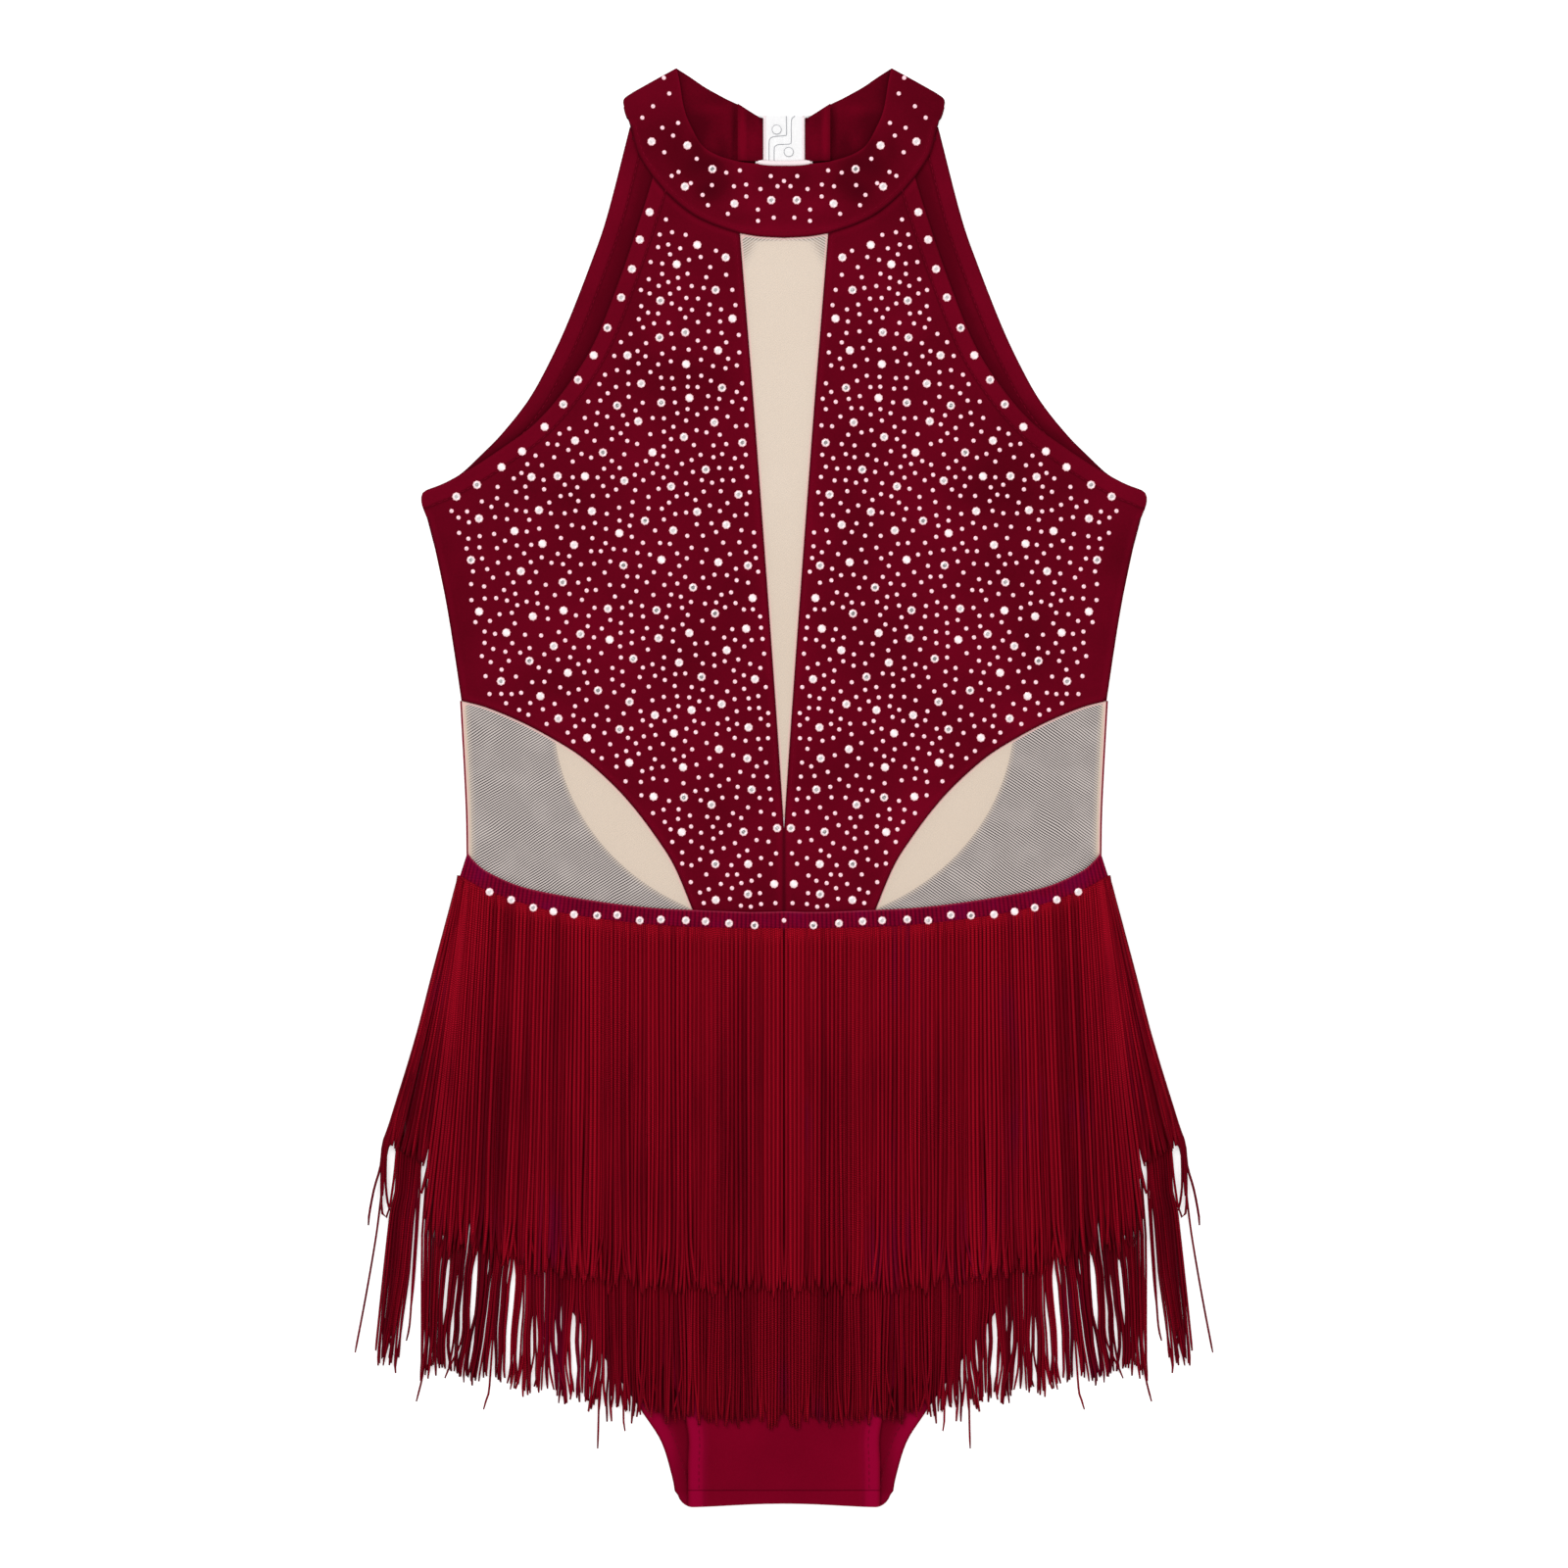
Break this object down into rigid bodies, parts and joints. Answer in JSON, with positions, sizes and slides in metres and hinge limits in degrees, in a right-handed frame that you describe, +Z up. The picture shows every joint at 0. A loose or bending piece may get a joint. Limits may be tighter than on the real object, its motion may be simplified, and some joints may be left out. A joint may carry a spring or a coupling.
{
  "type": "ballet leotard",
  "caption": "Ballet leotard with a halter collar, net inserts, an open back and a two-tier fringe skirt, laid flat with its front up.",
  "frame": {"origin": "on the surface that the leotard lies on, at the middle of its length and width", "axes": "+X to the right in the front view, +Y from the crotch towards the neck, +Z up out of the front"},
  "size_m": [0.4406, 0.7338, 0.0054],
  "materials": {
    "burgundy_knit": "soft stretch knit",
    "nude_net": "fine see-through net",
    "fringe_yarn": "shiny chainette yarn",
    "clear_plastic": "clear and polished"
  },
  "bodies": {
    "root": {"front_panel_right": "burgundy_knit", "front_panel_left": "burgundy_knit", "front_mesh_insert": "nude_net", "side_mesh_right": "nude_net", "side_mesh_left": "nude_net", "front_brief": "burgundy_knit", "back_brief": "burgundy_knit", "back_mesh_right": "nude_net", "back_mesh_left": "nude_net", "back_band_right": "burgundy_knit", "back_band_left": "burgundy_knit", "collar_front": "burgundy_knit", "collar_back_right": "burgundy_knit", "collar_back_left": "burgundy_knit", "clasp_right": "clear_plastic", "clasp_left": "clear_plastic", "fringe_lower": "fringe_yarn", "fringe_upper": "fringe_yarn"}
  },
  "joints": []
}
